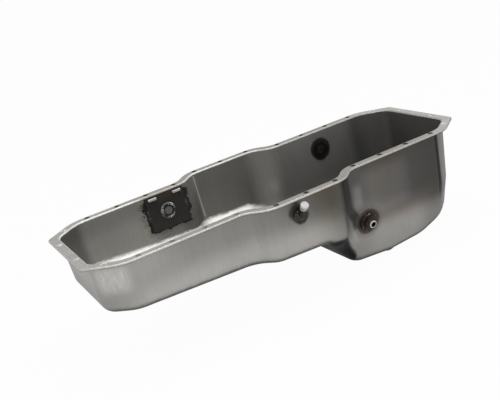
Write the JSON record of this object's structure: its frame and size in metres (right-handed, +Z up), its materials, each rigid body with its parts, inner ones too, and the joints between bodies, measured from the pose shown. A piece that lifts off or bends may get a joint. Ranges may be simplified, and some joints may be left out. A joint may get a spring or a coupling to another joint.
{
  "type": "engine oil pan",
  "caption": "Long pressed steel oil pan with a shallow tray, a deep rear sump, side bulges, a bolt flange, welded ports with plugs, a capped level stub and a drain.",
  "frame": {"origin": "centre of the flange bolt pattern, on the flat top face of the flange", "axes": "+X along the pan towards the deep sump, +Y across it to the side with the two upper ports, +Z up out of the opening"},
  "size_m": [0.8186, 0.3758, 0.2313],
  "materials": {
    "drawn_steel": "bare drawn sheet with a light oil film, satin",
    "scaled_steel": "dark mill scale, matt",
    "stub_steel": "turned steel, darkened at the weld",
    "bush_steel": "turned steel, blackened by the weld",
    "plug_steel": "zinc plated, semi bright",
    "copper": "soft copper, dulled",
    "cap_plastic": "white moulded cap, smooth"
  },
  "bodies": {
    "root": {"pan_shell": "drawn_steel", "sump_port_bush": "bush_steel", "sump_port_washer": "copper", "sump_port_plug": "plug_steel", "rear_port_bush": "bush_steel", "rear_port_washer": "copper", "rear_port_plug": "plug_steel", "front_port_bush": "bush_steel", "front_port_washer": "copper", "front_port_plug": "plug_steel", "front_port_plate": "scaled_steel", "level_stub": "stub_steel", "level_stub_cap": "cap_plastic", "drain_bush": "bush_steel", "drain_washer": "copper", "drain_plug": "plug_steel"}
  },
  "joints": []
}
